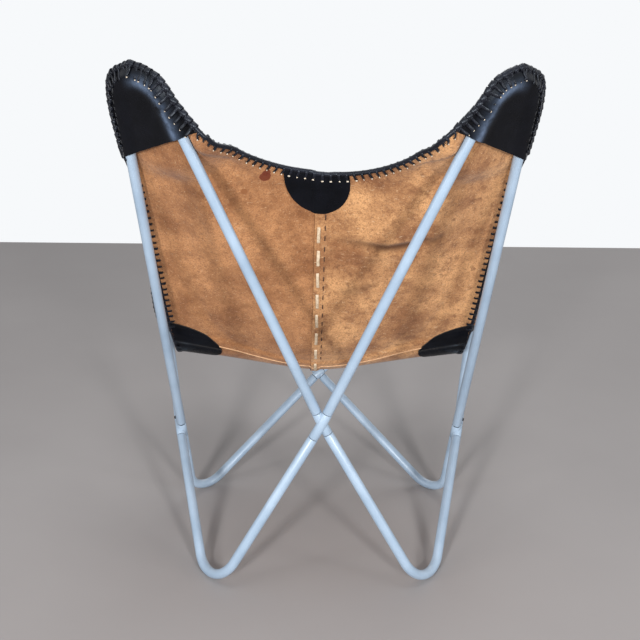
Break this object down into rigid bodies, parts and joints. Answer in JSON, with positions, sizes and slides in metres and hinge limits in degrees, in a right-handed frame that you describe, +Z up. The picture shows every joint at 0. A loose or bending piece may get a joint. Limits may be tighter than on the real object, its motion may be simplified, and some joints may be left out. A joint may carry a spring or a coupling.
{
  "type": "butterfly chair",
  "caption": "Low lounge chair with a leather sling hung by sewn pockets on the rounded tips of a knock-down frame of bent tubes, for reclining in with head and knees supported",
  "frame": {"origin": "floor level, under the middle of the chair's bounding box; the sitter faces -Y", "axes": "+X to the sitter's left, +Y behind the backrest, +Z up"},
  "size_m": [0.6897, 0.6588, 0.8902],
  "materials": {
    "tube_paint": "satin",
    "screw_steel": "satin",
    "tan_leather": "matte",
    "black_leather": "satin",
    "black_lace": "satin"
  },
  "bodies": {
    "root": {"rear_hoop_left": "tube_paint", "rear_hoop_right": "tube_paint", "front_hoop_left": "tube_paint", "front_hoop_right": "tube_paint", "rear_foot_left": "tube_paint", "rear_foot_right": "tube_paint", "front_foot_left": "tube_paint", "front_foot_right": "tube_paint", "rear_cross_connector": "tube_paint", "front_cross_connector": "tube_paint", "left_cross_connector": "tube_paint", "right_cross_connector": "tube_paint", "side_screw_left": "screw_steel", "side_screw_right": "screw_steel", "back_panel_left": "tan_leather", "back_panel_right": "tan_leather", "seat_panel_left": "tan_leather", "seat_panel_right": "tan_leather", "rear_pocket_left": "black_leather", "rear_pocket_right": "black_leather", "front_pocket_left": "black_leather", "front_pocket_right": "black_leather", "waist_patch_left": "black_leather", "waist_patch_right": "black_leather", "top_centre_patch": "black_leather", "side_lacing_left": "black_lace", "side_lacing_right": "black_lace", "top_lacing": "black_lace", "front_lacing": "black_lace"}
  },
  "joints": []
}
